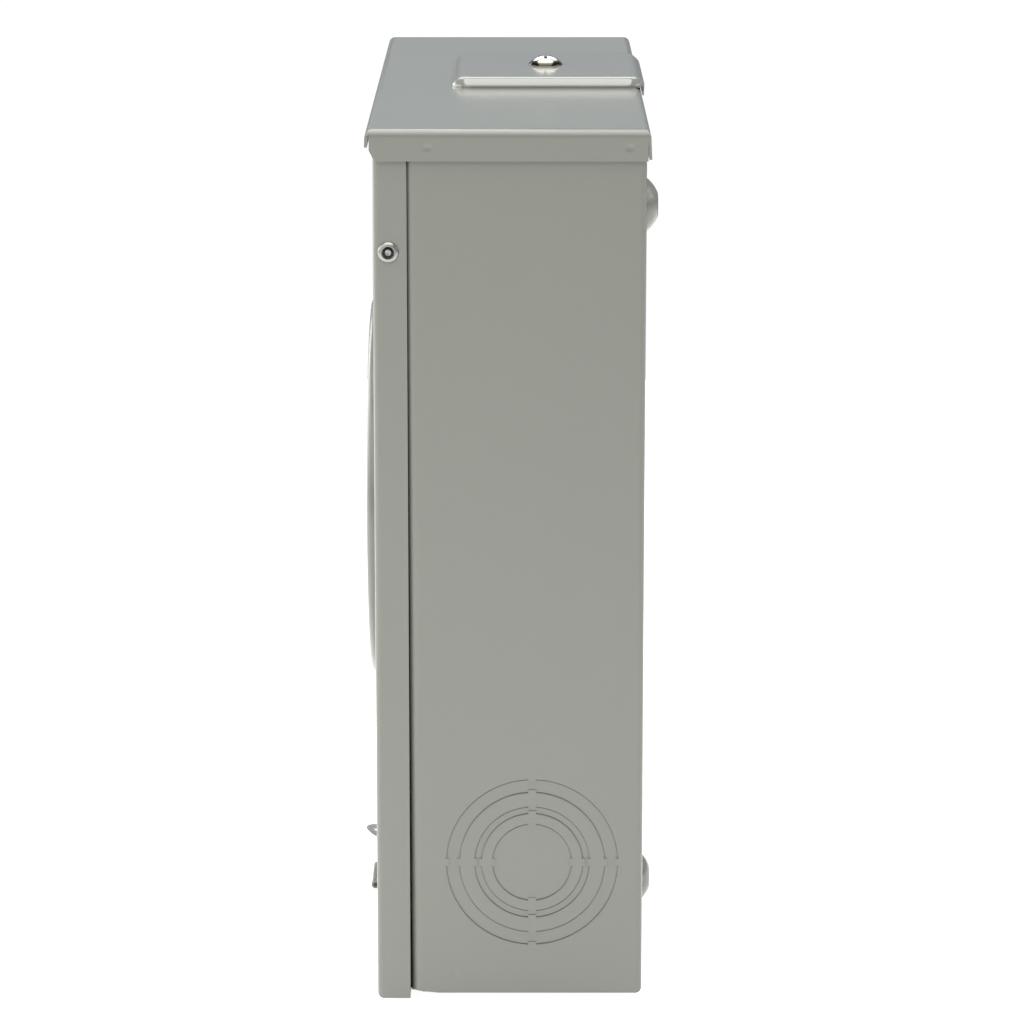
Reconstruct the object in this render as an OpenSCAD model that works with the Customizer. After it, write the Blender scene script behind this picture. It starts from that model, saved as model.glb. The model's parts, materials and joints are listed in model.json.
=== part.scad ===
// Outdoor subpanel enclosure: a surface-mounted steel box with a rain hood, a flip-up door,
// a hub closure plate on top, and the busbars, rails and terminal bars of an eight-space panel.
// Frame: X to the right seen from the front, Y into the wall, Z up. The origin is on the wall
// plane, midway between the two upper mounting holes. "s" is a depth behind the door's face and
// "d" is a drop below the top of the hood.

/* [Enclosure] */
// Width of the box over its side walls
box_w = 361.4; // [300:0.1:500]
// Depth from the door's face to the rear wall
box_d = 116.5; // [105:0.1:140]
// Height from the top of the hood to the bottom wall
box_h = 383; // [370:0.1:600]
// Thickness of the box sheet
sheet = 1.5; // [1.2:0.1:1.6]
// Inside radius of the bends
bend_r = 1.5; // [1:0.1:2]
// Width of the front flange beside the door's opening
channel_w = 9; // [8.5:0.1:10]
// Inside radius of the bends at the side walls' front edges
edge_bend_r = 3.3; // [2.5:0.1:3.5]
// Depth of the front flange behind the door's face, at the bottom
flange_s = 15; // [14.8:0.1:16]

/* [Wall mounting] */
// Height of the dimples that hold the rear wall off the wall
dimple_h = 6.35; // [4:0.05:8]
// Radius of a dimple where it leaves the rear wall
dimple_base_r = 12.8; // [11:0.1:16]
// Radius of the flat pad on a dimple
pad_r = 5; // [4.5:0.1:6]
// Radius of the mounting holes
mount_hole_r = 3.4; // [2.5:0.1:4]
// Drop of the upper mounting holes below the top of the hood
upper_mount_drop = 40; // [35:0.5:60]
// Distance between the upper mounting holes
upper_span = 256; // [200:1:270]
// Drop of the lower mounting holes below the top of the hood
lower_mount_drop = 362.5; // [350:0.5:364]
// Distance between the lower mounting holes
lower_span = 146; // [100:1:250]

/* [Hood] */
// Width of the hood over its side flanges
hood_w = 364.8; // [364.8:0.1:368]
// Thickness of the hood sheet
hood_sheet = 1.2; // [1:0.1:1.5]
// Inside radius of the hood's bends
hood_bend_r = 2.4; // [1.5:0.1:2.4]
// Height of the hood's side flanges
hood_flange_h = 13.6; // [12:0.1:13.6]
// Height of the hood's front lip
front_lip_h = 7.7; // [6:0.1:7.9]
// Height of the hood's rear lip
rear_lip_h = 12.9; // [8:0.1:14]
// Radius of the hub opening
hub_opening_r = 32; // [20:0.5:32]

/* [Door] */
// Thickness of the door sheet
door_sheet = 1.2; // [1:0.1:1.2]
// Height of the door's lower edge below the top of the hood
door_drop = 385.5; // [385:0.1:386]
// Depth of the door's skirt
skirt_d = 14.5; // [12:0.1:15]
// Radius of the flat of the round emboss
emboss_r = 86; // [60:0.5:110]
// Height of the round emboss
emboss_h = 6.8; // [3:0.1:8]
// How far the door is open in this drawing
door_open = 0; // [0:1:95]

/* [Panel] */
// Number of breaker rows, with one breaker to the left and one to the right in each
rows = 4; // [2:1:5]
// Height of one breaker space
row_pitch = 25.4; // [25.4:0.1:26]

/* [Hidden] */
$fn = 48;

paint = [0.60, 0.60, 0.57];
zinc = [0.82, 0.82, 0.83];
steel = [0.70, 0.70, 0.70];
aluminium = [0.80, 0.81, 0.83];
copper = [0.80, 0.58, 0.42];
black = [0.10, 0.10, 0.11];
card = [0.93, 0.93, 0.90];
green = [0.15, 0.45, 0.22];

// Places worked out from the driving dimensions.
half_w = box_w / 2;
inner_w = half_w - sheet;
face_y = -(dimple_h + box_d);
top_z = upper_mount_drop;
gap = 0.3;
lip_w = half_w - channel_w;
lip_front_s = 1.6;
rim_d = 3;
corner_r = 2.6;
wall_front_s = 24;
channel_h = 11;
edge_w = half_w - sheet - edge_bend_r;
lean = acos(0.99999);
flange_top_s = flange_s - tan(lean) * (box_h - hood_flange_h);
lower_z = -(lower_mount_drop - upper_mount_drop);
back_s = box_d - sheet;

// The door's pivot, just under the hood.
pivot_s = 6;
pivot_d = 16;
pin_r = 2.5;
ear_r = 4.4;
arm_t = 2;
arm_w = 6.8;
rivet_s = 6.6;
rivet_d = 52.7;
rivet_hole_r = 2.4;
door_top_d = 6;
skirt_top_d = 12.6;
door_bend_r = 1.4;

// The hub closure plate and the screw through its middle.
hub_x = -17.6;
hub_s = 74.7;
plate_w = 109;
plate_front_s = 31.5;
plate_rear_s = 119.6;
plate_h = 4.75;
plate_bevel = 3.2;
plate_t = 1.2;
hub_screw_r = 3;

weld_ball = 8;
weld_dent = 0.35;

// The latch in the bottom channel.
latch_w = 19;
latch_s = 10.5;
latch_d = 376.5;
latch_pin_r = 1.5;
latch_ear_t = 1.2;
latch_ear_x = 13.2;
tongue_w = 25;
tongue_tip_s = -11.2;
tongue_tip_d = 361.8;
tongue_slope = 16;
tongue_bend_s = 5;
tongue_sheet = 1;
seal_hole_r = 1.6;
seal_hole_at = 4.4;
slot_w = 28;
slot_top_d = 358.5;
slot_bottom_d = 375.5;

// The knockouts: trade sizes on both sides, and in the bottom.
knock_s = 68.1;
knock_d = 322.9;
knock_radii = [37.5, 31.9, 25.1, 22.3, 17.3];
step_w = 0.7;
step_h = 0.4;
groove_w = 0.4;
groove_d = 0.35;
tie_w = 3.5;
tie_h = 2;
bottom_knock_x = [-105, -35, 35, 105];

// The panel's inside.
panel_d = 190;
pan_w = 150;
pan_top_d = 60;
pan_bottom_d = 318;
pan_s = 96;
pan_front_s = pan_s - sheet;
insulator_s = 80;
bus_x = 21;
bus_w = 13;
bus_t = 3;
rail_x = 70;
neutral_x = 118;
neutral_s = 78;
deadfront_s = 22;
deadfront_t = 1.2;
deadfront_w = 330;
deadfront_top_d = 22;
deadfront_bottom_d = 368;
screw_r = 2;
stack_h = rows * row_pitch;

function y_at(s) = face_y + s;
function z_at(d) = top_z - d;
function unit(v) = v / norm(v);
function left_normal(a, b) = let (u = unit(b - a)) [-u[1], u[0]];

// The points of a corner at b between a and c, rounded to radius r.
function arc_steps() = 6;
function rounded_corner(a, b, c, r) =
    let (
        u = unit(a - b),
        w = unit(c - b),
        half = acos(u * w) / 2,
        centre = b + unit(u + w) * r / sin(half),
        start = b + u * r / tan(half) - centre,
        turn = sign(cross(b - a, c - b)) * (180 - 2 * half)
    )
    [for (i = [0:arc_steps()])
        let (t = turn * i / arc_steps())
        centre + [start[0] * cos(t) - start[1] * sin(t), start[0] * sin(t) + start[1] * cos(t)]];

// A corner at b moved to the left by t.
function moved_corner(a, b, c, t) =
    let (m = left_normal(a, b), n = left_normal(b, c)) b + (m + n) * t / (1 + m * n);

// The path, moved to the left by t.
function moved_path(p, t) =
    let (last = len(p) - 1)
    concat(
        [p[0] + left_normal(p[0], p[1]) * t],
        [for (i = [1:1:last - 1]) moved_corner(p[i - 1], p[i], p[i + 1], t)],
        [p[last] + left_normal(p[last - 1], p[last]) * t]
    );

// The path with its corners rounded: r_left where it turns left, r_right where it turns right.
function rounded_path(p, r_left, r_right) =
    let (last = len(p) - 1)
    concat(
        [p[0]],
        [for (i = [1:1:last - 1])
            let (r = cross(p[i] - p[i - 1], p[i + 1] - p[i]) > 0 ? r_left : r_right)
            each rounded_corner(p[i - 1], p[i], p[i + 1], r)],
        [p[last]]
    );

function backwards(p) = [for (i = [len(p) - 1:-1:0]) p[i]];

// A bent sheet seen on edge: the path is one face and the sheet lies to its left.
module bent_sheet(path, t, r) {
    polygon(concat(
        rounded_path(path, r + t, r),
        backwards(rounded_path(moved_path(path, t), r, r + t))
    ));
}

// Everything to the left of a bent sheet's face.
module filled_sheet(path, t, r, closing = []) {
    polygon(concat(rounded_path(path, r + t, r), closing));
}

// Extrudes a plan, drawn in X and Y, from the drop d0 down to d1.
module down(d0, d1) {
    translate([0, 0, z_at(d1)]) linear_extrude(d1 - d0) children();
}

// Extrudes a side view, drawn in Y and Z, from x0 to x1.
module across(x0, x1) {
    translate([x0, 0, 0]) rotate([90, 0, 90]) linear_extrude(x1 - x0) children();
}

// Extrudes a front view, drawn in X and Z, from the depth s0 to s1.
module deep(s0, s1) {
    translate([0, y_at(s1), 0]) rotate([90, 0, 0]) linear_extrude(s1 - s0) children();
}

// A box given by its ranges in x, depth and drop.
module block(x0, x1, s0, s1, d0, d1) {
    translate([x0, y_at(s0), z_at(d1)]) cube([x1 - x0, s1 - s0, d1 - d0]);
}

// A cylinder along X, along Y from the depth s0 to s1, and along Z from the drop d0 to d1.
module rod_x(x0, x1, s, d, r) {
    translate([x0, y_at(s), z_at(d)]) rotate([0, 90, 0]) cylinder(h = x1 - x0, r = r);
}
module rod_y(x, s0, s1, d, r) {
    translate([x, y_at(s1), z_at(d)]) rotate([90, 0, 0]) cylinder(h = s1 - s0, r = r);
}
module rod_z(x, s, d0, d1, r) {
    translate([x, y_at(s), z_at(d1)]) cylinder(h = d1 - d0, r = r);
}

// Mirrors its children to the left where side is -1.
module on_side(side) {
    if (side > 0) children();
    else mirror([1, 0, 0]) children();
}

// Concentric knockouts in a sheet whose outer face is on Z = t. Counted inwards, the sheet steps
// down at the first ring, up at the second, down at the third and so on. Each step has a sheared
// groove at its foot, and four ties cross each of them.
module knockout_cut(t, radii) {
    inner = [for (i = [0:2:len(radii) - 1]) i + 1 < len(radii) ? radii[i + 1] : 0];
    difference() {
        union() {
            for (i = [0:len(inner) - 1]) translate([0, 0, t]) knockout_step(inner[i], radii[2 * i]);
            for (r = radii) translate([0, 0, t - step_h]) knockout_groove(r);
            for (r = radii) knockout_groove(r);
        }
        for (turn = [0:90:270]) for (r = radii)
            rotate(turn) translate([-tie_w / 2, r - tie_h / 2, -t]) cube([tie_w, tie_h, 3 * t]);
    }
}

// A ring stepped down from Z = 0, with slanted walls.
module knockout_step(r0, r1) rotate_extrude() polygon(concat(
    r0 > 0 ? [[r0 - step_w, 1], [r0 - step_w, 0], [r0, -step_h]] : [[0, 1], [0, -step_h]],
    [[r1, -step_h], [r1 + step_w, 0], [r1 + step_w, 1]]
));

module knockout_groove(r) rotate_extrude()
    translate([r - groove_w / 2, -groove_d]) square([groove_w, 2 * groove_d]);

// ---- Box ----

// The rear wall and the side walls, seen from above.
wall_plan = [
    [half_w, y_at(wall_front_s)], [half_w, y_at(box_d)],
    [-half_w, y_at(box_d)], [-half_w, y_at(wall_front_s)]
];
// A side wall's front edge, seen from above: a lip, a flange on y = 0 and the start of the wall.
edge_plan = [[lip_w, -2 * flange_s], [lip_w, 0], [half_w, 0], [half_w, wall_front_s]];

// The flange leans: it stands further back at the bottom than under the hood.
module front_edge() intersection() {
    translate([0, y_at(flange_top_s), z_at(hood_flange_h)]) rotate([lean, 0, 0])
        translate([0, 0, -box_h]) linear_extrude(box_h + hood_flange_h)
        bent_sheet(edge_plan, sheet, edge_bend_r);
    block(0, half_w, lip_front_s, wall_front_s, rim_d, box_h);
}

// A dimple's section: an arc from its base to the edge of its flat pad.
dimple_c = (dimple_base_r * dimple_base_r - pad_r * pad_r - dimple_h * dimple_h) / (2 * dimple_h);
dimple_ball = sqrt(dimple_base_r * dimple_base_r + dimple_c * dimple_c);
dimple_a0 = acos(dimple_c / dimple_ball);
dimple_a1 = acos((dimple_c + dimple_h) / dimple_ball);
dimple_steps = 8;

module dimple_profile() {
    polygon(concat(
        [[0, 0]],
        [for (i = [0:dimple_steps])
            let (a = dimple_a0 + (dimple_a1 - dimple_a0) * i / dimple_steps)
            dimple_ball * [sin(a), cos(a)] - [0, dimple_c]],
        [[0, dimple_h]]
    ));
}

module at_mounts() {
    for (x = [-upper_span / 2, upper_span / 2])
        translate([x, -dimple_h, 0]) rotate([-90, 0, 0]) children();
    for (x = [-lower_span / 2, lower_span / 2])
        translate([x, -dimple_h, lower_z]) rotate([-90, 0, 0]) children();
}

module dimple() {
    rotate_extrude() dimple_profile();
}

module dimple_hollow() {
    translate([0, 0, -sheet]) rotate_extrude() dimple_profile();
}

module enclosure_body() color(paint) difference() {
    union() {
        difference() {
            union() {
                down(rim_d, box_h) bent_sheet(wall_plan, sheet, bend_r);
                for (side = [-1, 1]) on_side(side) front_edge();
            }
            // Room at the top of the lips and flanges for the door's upper edge to swing in.
            for (side = [-1, 1]) on_side(side) {
                block(lip_w - 3, lip_w + 1, -1, pivot_s, 0, pivot_d);
                block(lip_w - 3, half_w + 1, pivot_s - 1, flange_s + 2, 0, 14);
            }
        }
        for (side = [-1, 1]) on_side(side) rod_x(lip_w - sheet, lip_w, pivot_s, pivot_d, ear_r);
        at_mounts() dimple();
    }
    at_mounts() dimple_hollow();
    at_mounts() translate([0, 0, -1]) cylinder(h = dimple_h + 2, r = mount_hole_r);
    for (side = [-1, 1]) on_side(side) {
        rod_x(lip_w - 3, lip_w + 1, pivot_s, pivot_d, pin_r);
        // The lower front corner of the side wall is cut on the slant.
        translate([half_w - channel_w / 2, 0, 0]) across(0, channel_w)
            polygon([
                [y_at(flange_s - 4), z_at(box_h - 1.6)], [y_at(flange_s - 4), z_at(box_h + 1)],
                [y_at(28), z_at(box_h + 1)], [y_at(27), z_at(box_h)]
            ]);
        translate([half_w - sheet, y_at(knock_s), z_at(knock_d)]) rotate([0, 90, 0])
            knockout_cut(sheet, knock_radii);
        weld_dents(half_w, [34.1, 106.8], box_h - 8.8);
    }
    // The lower rear corners are rounded, seen from the side.
    difference() {
        block(-half_w - 1, half_w + 1, box_d - corner_r, box_d + 1, box_h - corner_r, box_h + 1);
        rod_x(-half_w - 2, half_w + 2, box_d - corner_r, box_h - corner_r, corner_r);
    }
}

// Spot welds show as shallow round dents in a face at x.
module weld_dents(x, depths, d) {
    for (s = depths) translate([x + weld_ball - weld_dent, y_at(s), z_at(d)]) sphere(r = weld_ball);
}

bottom_profile = [
    [y_at(lip_front_s), z_at(box_h - channel_h)], [y_at(flange_s), z_at(box_h - channel_h)],
    [y_at(flange_s), z_at(box_h)], [y_at(back_s), z_at(box_h)], [y_at(back_s), z_at(box_h - 7)]
];

module bottom_endwall() color(paint) difference() {
    union() {
        intersection() {
            across(-inner_w, inner_w) bent_sheet(bottom_profile, sheet, bend_r);
            union() {
                block(-lip_w + sheet, lip_w - sheet, 0, box_d, 300, 400);
                block(-edge_w, edge_w, flange_s + sheet, box_d, 300, 400);
                block(-inner_w, inner_w, flange_s + sheet + edge_bend_r, box_d, 300, 400);
            }
        }
        // Side flanges, spot-welded to the side walls.
        for (side = [-1, 1]) on_side(side)
            block(inner_w - sheet, inner_w, flange_s + 8, back_s - 3, box_h - 14, box_h - 0.5);
    }
    for (side = [-1, 1]) on_side(side) block(175, inner_w + 1, back_s - 5, back_s + 1, 360, box_h - sheet);
    // The lip is notched where the latch stands.
    block(-18, 18, 0, flange_s - 0.2, box_h - channel_h - 3, box_h - channel_h + 3);
    for (x = bottom_knock_x) translate([x, y_at(knock_s), z_at(box_h)])
        rotate([180, 0, 0]) translate([0, 0, -sheet]) knockout_cut(sheet, [14.3, 11.1]);
    // Drain hole.
    rod_z(0, 100, box_h - 3, box_h + 1, 3.2);
}

// ---- Hood ----

hood_profile = [
    [y_at(118.6), z_at(rear_lip_h)], [y_at(118), z_at(0)],
    [y_at(-3), z_at(0)], [y_at(-3.3), z_at(front_lip_h)]
];
hood_closing = [[y_at(-3.3), z_at(30)], [y_at(118.6), z_at(30)]];
hood_front = [
    [hood_w / 2, z_at(hood_flange_h)], [hood_w / 2, z_at(0)],
    [-hood_w / 2, z_at(0)], [-hood_w / 2, z_at(hood_flange_h)]
];

module rain_hood() color(paint) difference() {
    union() {
        intersection() {
            across(-hood_w / 2, hood_w / 2) bent_sheet(hood_profile, hood_sheet, hood_bend_r);
            deep(-10, 130) filled_sheet(hood_front, hood_sheet, hood_bend_r);
        }
        intersection() {
            deep(-1.3, 117) bent_sheet(hood_front, hood_sheet, hood_bend_r);
            across(-hood_w, hood_w) filled_sheet(hood_profile, hood_sheet, hood_bend_r, hood_closing);
        }
    }
    // The front lower corners of the side flanges are cut off.
    for (side = [-1, 1]) on_side(side) translate([half_w - 1, 0, 0]) across(0, 4)
        polygon([
            [y_at(-3), z_at(9)], [y_at(-1.3), z_at(9)], [y_at(0.3), z_at(12)],
            [y_at(3), z_at(hood_flange_h + 0.4)], [y_at(-3), z_at(hood_flange_h + 0.4)]
        ]);
    for (side = [-1, 1]) on_side(side) weld_dents(hood_w / 2, [23.4, 109.1], 7.85);
    rod_z(hub_x, hub_s, -1, hood_sheet + 1, hub_opening_r);
}

// A plate with a bevel all round, given by its ranges in x and depth.
module bevelled_plate(x0, x1, s0, s1, d0, h, bevel, r) {
    hull() {
        for (x = [x0 + r, x1 - r]) for (s = [s0 + r, s1 - r])
            translate([x, y_at(s), z_at(d0)]) cylinder(h = 0.6, r = r, $fn = 32);
        for (x = [x0 + r, x1 - r]) for (s = [s0 + r, s1 - r])
            translate([x, y_at(s), z_at(d0)]) cylinder(h = h, r = r - bevel, $fn = 32);
    }
}

module hub_closure_plate() color(paint) difference() {
    x0 = hub_x - plate_w / 2;
    x1 = hub_x + plate_w / 2;
    union() {
        bevelled_plate(x0, x1, plate_front_s, plate_rear_s, 0, plate_h, plate_bevel, 10);
        // The rear edge turns down behind the hood.
        block(x0 + 12, x1 - 12, plate_rear_s - 0.8, plate_rear_s, -1, 5);
    }
    // Dished underneath.
    bevelled_plate(x0 + plate_t, x1 - plate_t, plate_front_s + plate_t, plate_rear_s - plate_t, 0.01,
        plate_h - plate_t, plate_bevel, 10 - plate_t);
    rod_z(hub_x, hub_s, -10, 2, hub_screw_r + 0.3);
}

module hub_gasket() color(black) difference() {
    rod_z(hub_x, hub_s, -(plate_h - plate_t - 0.05), 0, hub_opening_r + 5.5);
    rod_z(hub_x, hub_s, -plate_h, 1, hub_opening_r + 2);
}

module hub_clamp_bar() color(zinc) difference() {
    block(hub_x - 42, hub_x + 42, hub_s - 9, hub_s + 9, hood_sheet, hood_sheet + 2);
    rod_z(hub_x, hub_s, 0, 6, hub_screw_r);
}

// A truss-head screw with a combination drive.
module hub_plate_screw() color(zinc) difference() {
    head_r = 8.05;
    head_h = 4.3;
    ball = (head_r * head_r + head_h * head_h) / (2 * head_h);
    union() {
        intersection() {
            translate([hub_x, y_at(hub_s), z_at(-plate_h) + head_h - ball]) sphere(r = ball);
            rod_z(hub_x, hub_s, -plate_h - head_h - 1, -plate_h, head_r);
        }
        rod_z(hub_x, hub_s, -plate_h, 10, hub_screw_r);
    }
    for (turn = [0, 90]) translate([hub_x, y_at(hub_s), z_at(-plate_h) + head_h])
        rotate(turn) cube([7, 1.6, 4.4], center = true);
    translate([hub_x, y_at(hub_s), z_at(-plate_h) + head_h]) cube([12.5, 1.4, 2.4], center = true);
}

// ---- Door ----

door_plan = [
    [-half_w, y_at(skirt_d)], [-half_w, y_at(0)], [half_w, y_at(0)], [half_w, y_at(skirt_d)]
];
door_profile = [
    [y_at(0), z_at(door_top_d)], [y_at(0), z_at(door_drop)], [y_at(skirt_d), z_at(door_drop)]
];
emboss_d = 192.3;

// The emboss's section: a flat, a round shoulder and a round foot.
module emboss_profile(h, r) {
    shoulder = 3.6;
    foot = h - shoulder;
    polygon(concat(
        [[0, -0.01]], [[0, h]],
        [for (a = [90:-15:0]) [r + shoulder * cos(a), h - shoulder + shoulder * sin(a)]],
        [for (a = [180:15:270]) [r + shoulder + foot + foot * cos(a), foot + foot * sin(a)]]
    ));
}

module emboss(h, r) {
    translate([0, y_at(0), z_at(emboss_d)]) rotate([90, 0, 0]) rotate_extrude($fn = 96)
        emboss_profile(h, r);
}

module door_shape() difference() {
    union() {
        intersection() {
            union() {
                down(skirt_top_d, door_drop) bent_sheet(door_plan, door_sheet, door_bend_r);
                down(door_top_d, skirt_top_d + 1)
                    translate([-half_w + 4, y_at(0)]) square([box_w - 8, door_sheet]);
                across(-half_w, half_w) bent_sheet(door_profile, door_sheet, door_bend_r);
            }
            down(0, door_drop) filled_sheet(door_plan, door_sheet, door_bend_r);
            across(-half_w, half_w)
                filled_sheet(door_profile, door_sheet, door_bend_r, [[y_at(skirt_d), z_at(door_top_d)]]);
        }
        emboss(emboss_h, emboss_r);
    }
    translate([0, door_sheet, 0]) emboss(emboss_h, emboss_r);
    // The skirt's upper rear corner is rounded about the pivot.
    for (side = [-1, 1]) on_side(side) difference() {
        block(half_w - 2, half_w + 1, pivot_s + 5, skirt_d + 1, skirt_top_d - 1, pivot_d);
        rod_x(half_w - 3, half_w + 2, pivot_s, pivot_d, skirt_d - pivot_s);
    }
    block(-slot_w / 2, slot_w / 2, -3, 5, slot_top_d, slot_bottom_d);
    for (side = [-1, 1]) on_side(side) rod_x(half_w - 5, half_w + 1, rivet_s, rivet_d, rivet_hole_r);
}

module door() swung() color(paint) door_shape();

// Turns the door's own pieces about the pivot.
module swung() {
    translate([0, y_at(pivot_s), z_at(pivot_d)]) rotate([-door_open, 0, 0])
        translate([0, -y_at(pivot_s), -z_at(pivot_d)]) children();
}

// The finger pull: a bent tab, welded to the door's face, whose outer edge is curled down.
pull_w = 32;
pull_t = 1;
pull_top_d = 382.9;
curl_s = -6.3;
curl_r = 1.95;
module door_pull() swung() color(paint) across(-pull_w / 2, pull_w / 2) {
    polygon(concat(
        rounded_path([
            [y_at(0), z_at(376.3)], [y_at(0), z_at(pull_top_d + pull_t)],
            [y_at(curl_s), z_at(pull_top_d + pull_t)]
        ], pull_t, pull_t),
        backwards(rounded_path([
            [y_at(-pull_t), z_at(376.3)], [y_at(-pull_t), z_at(pull_top_d)],
            [y_at(curl_s), z_at(pull_top_d)]
        ], 0.3, 0.3))
    ));
    translate([y_at(curl_s), z_at(pull_top_d + curl_r)]) polygon(concat(
        [for (a = [90:15:330]) curl_r * [cos(a), sin(a)]],
        [for (a = [330:-15:90]) (curl_r - pull_t) * [cos(a), sin(a)]]
    ));
}

module directory_card() swung() color(card)
    block(-150, -100, door_sheet, door_sheet + 0.3, 120, 270);

module hinge_arm(side) swung() on_side(side) color(zinc) {
    x1 = half_w - door_sheet;
    difference() {
        across(x1 - arm_t, x1) polygon(concat(
            [for (a = [0:15:180]) [y_at(pivot_s) + arm_w / 2 * cos(a), z_at(pivot_d) + arm_w / 2 * sin(a)]],
            [for (a = [180:15:360]) [y_at(rivet_s) + arm_w / 2 * cos(a), z_at(rivet_d) + arm_w / 2 * sin(a)]]
        ));
        rod_x(x1 - 5, x1 + 5, pivot_s, pivot_d, pin_r + 0.05);
        rod_x(x1 - 5, x1 + 5, rivet_s, rivet_d, rivet_hole_r);
    }
}
module hinge_arm_left() hinge_arm(-1);
module hinge_arm_right() hinge_arm(1);

// A shoulder pin riveted into the lip of the box.
module hinge_pin(side) on_side(side) color(steel) {
    arm_x = half_w - door_sheet - arm_t;
    rod_x(lip_w - sheet - 1.2, lip_w - sheet, pivot_s, pivot_d, 3.6);
    rod_x(lip_w - sheet, arm_x + arm_t - 0.2, pivot_s, pivot_d, pin_r);
    rod_x(lip_w, arm_x - gap, pivot_s, pivot_d, 3.8);
}
module hinge_pin_left() hinge_pin(-1);
module hinge_pin_right() hinge_pin(1);

// A blind rivet with a domed flange and its mandrel's end in the middle. Z is its axis, and
// Z = 0 is the face of the skirt.
rivet_flange_r = 4.6;
rivet_dome_h = 1.5;
rivet_ball = (rivet_flange_r * rivet_flange_r + rivet_dome_h * rivet_dome_h) / (2 * rivet_dome_h);
rivet_well_r = 2.1;
function dome_z(r) = rivet_dome_h - rivet_ball + sqrt(rivet_ball * rivet_ball - r * r);
module door_rivet(side) swung() on_side(side) color(steel)
    translate([half_w, y_at(rivet_s), z_at(rivet_d)]) rotate([0, 90, 0]) rotate_extrude() {
        grip = door_sheet + arm_t;
        polygon(concat(
            [[0, 1.1], [1.3, 1.1], [1.3, 0.7], [rivet_well_r, 0.7]],
            [for (r = [rivet_well_r:0.5:rivet_flange_r]) [r, dome_z(r)]],
            [[rivet_flange_r, 0], [rivet_hole_r, 0], [rivet_hole_r, -grip], [3.3, -grip]],
            [[3.3, -grip - 1], [2.6, -grip - 2.2], [0, -grip - 2.2]]
        ));
    }
module door_rivet_left() door_rivet(-1);
module door_rivet_right() door_rivet(1);

// ---- Latch ----

module latch_bracket() color(zinc) difference() {
    union() {
        block(-latch_ear_x - 2, latch_ear_x + 2, flange_s - latch_ear_t, flange_s, 373.7, 380.8);
        for (side = [-1, 1]) on_side(side) {
            block(latch_ear_x - latch_ear_t, latch_ear_x, latch_s - 1, flange_s, 373.7, 379.8);
            rod_x(latch_ear_x - latch_ear_t, latch_ear_x, latch_s, latch_d, 3.3);
        }
    }
    rod_x(-20, 20, latch_s, latch_d, latch_pin_r);
}

module latch_pin() color(steel) {
    rod_x(-latch_ear_x, latch_ear_x, latch_s, latch_d, latch_pin_r);
    for (side = [-1, 1]) on_side(side) rod_x(latch_ear_x, latch_ear_x + 1, latch_s, latch_d, 2.4);
}

tongue_bend_d = tongue_tip_d + (tongue_bend_s - tongue_tip_s) * tan(tongue_slope);
tongue_path = [
    [y_at(tongue_tip_s), z_at(tongue_tip_d)], [y_at(tongue_bend_s), z_at(tongue_bend_d)],
    [y_at(latch_s), z_at(374.6)]
];

// Places its children on the tongue, at this distance behind its tip, with Y along the tongue.
module on_tongue(distance) {
    translate([0, y_at(tongue_tip_s), z_at(tongue_tip_d)]) rotate([-tongue_slope, 0, 0])
        translate([0, distance, 0]) children();
}

module latch_tongue() color(zinc) difference() {
    union() {
        intersection() {
            across(-tongue_w / 2, tongue_w / 2) bent_sheet(tongue_path, tongue_sheet, 1.5);
            // A round head, and a narrower neck behind it.
            on_tongue(tongue_w / 2) {
                cylinder(h = 40, r = tongue_w / 2, center = true);
                translate([-latch_w / 2, 0, -50]) cube([latch_w, 100, 100]);
            }
        }
        rod_x(-latch_w / 2, latch_w / 2, latch_s, latch_d, latch_pin_r + 1.1);
    }
    rod_x(-20, 20, latch_s, latch_d, latch_pin_r + 0.06);
    // A hole for a wire seal.
    on_tongue(seal_hole_at) cylinder(h = 6, r = seal_hole_r, center = true);
}

// The torsion spring beside the tongue's knuckle.
module latch_spring() color(steel) {
    wire_r = 0.3;
    for (i = [0:1]) translate([latch_w / 2 + 0.7 + i * 1.1, y_at(latch_s), z_at(latch_d)])
        rotate([0, 90, 0]) rotate_extrude() translate([latch_pin_r + 0.6, 0]) circle(r = wire_r, $fn = 16);
}

// ---- Deadfront ----

// Slots that mark one breaker space, with its ties left whole.
module twistout_slots(side, row) {
    w = 38;
    x0 = side > 0 ? 12 : -12 - w;
    top_d = panel_d - stack_h / 2 + row * row_pitch;
    slit = 1;
    for (d = [top_d + 1.6, top_d + row_pitch - 1.6]) block(x0 + 4, x0 + w - 4, 15, 30, d - slit / 2, d + slit / 2);
    for (x = [x0, x0 + w]) block(x - slit / 2, x + slit / 2, 15, 30, top_d + 5, top_d + row_pitch - 5);
}

deadfront_plan = [
    [-deadfront_w / 2, y_at(deadfront_s + 9)], [-deadfront_w / 2, y_at(deadfront_s)],
    [deadfront_w / 2, y_at(deadfront_s)], [deadfront_w / 2, y_at(deadfront_s + 9)]
];
deadfront_screw_x = 140;
deadfront_screw_d = [60, 330];

module deadfront() color(paint) difference() {
    down(deadfront_top_d, deadfront_bottom_d) bent_sheet(deadfront_plan, deadfront_t, bend_r);
    for (side = [-1, 1]) for (row = [0:rows - 1]) twistout_slots(side, row);
    for (x = [-deadfront_screw_x, deadfront_screw_x]) for (d = deadfront_screw_d)
        rod_y(x, 15, 30, d, screw_r + 0.3);
}

// Four bent legs that stand on the rear wall and carry the deadfront.
leg_front_s = deadfront_s + deadfront_t + sheet;
leg_plan = [
    [158, y_at(back_s)], [148, y_at(back_s)], [148, y_at(leg_front_s)], [132, y_at(leg_front_s)]
];
module deadfront_brackets() color(zinc) for (side = [-1, 1]) on_side(side) for (d = deadfront_screw_d)
    difference() {
        down(d - 8, d + 8) bent_sheet(leg_plan, sheet, bend_r);
        rod_y(deadfront_screw_x, 15, 30, d, screw_r);
    }

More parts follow.
